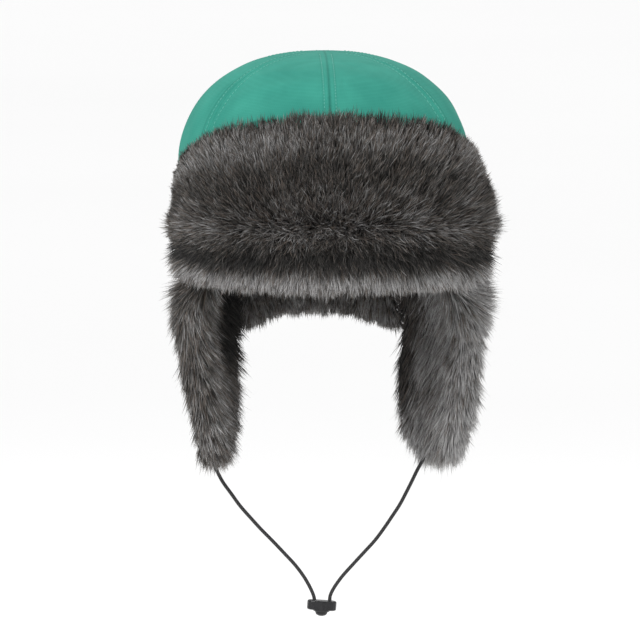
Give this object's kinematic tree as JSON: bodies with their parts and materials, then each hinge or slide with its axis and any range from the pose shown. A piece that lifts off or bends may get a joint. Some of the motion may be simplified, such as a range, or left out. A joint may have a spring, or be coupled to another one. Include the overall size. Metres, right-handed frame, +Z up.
{
  "type": "ushanka",
  "caption": "Winter hat with a padded cloth crown, a fur-faced visor folded up in front, fur-lined ear and neck flaps and an elastic chin cord with a cord lock.",
  "frame": {"origin": "middle of the head opening, in the plane of the crown's rim", "axes": "+Z up through the crown, the front of the hat faces -Y, +X towards the right of someone who looks at the front"},
  "size_m": [0.2216, 0.2671, 0.3996],
  "materials": {
    "nylon": "woven nylon shell over wadding, satin",
    "fur": "deep acrylic faux fur with lighter tips",
    "elastic": "braided round elastic",
    "plastic": "moulded acetal, satin"
  },
  "bodies": {
    "hat": {"crown": "nylon", "visor_shell": "nylon", "visor_fur": "fur", "ear_flap_left": "nylon", "ear_fur_left": "fur", "ear_flap_right": "nylon", "ear_fur_right": "fur", "neck_flap": "nylon", "neck_fur": "fur", "chin_cord": "elastic", "cord_lock_body": "plastic"},
    "lock_button": {"cord_lock_button": "plastic"}
  },
  "joints": [
    {"name": "button_press", "type": "slide", "parent": "hat", "child": "lock_button", "axis": [0.0698, 0, 0.9976], "range_m": [0, 0.0018], "stiffness_N_per_m": 900, "springref_m": -0.002}
  ]
}
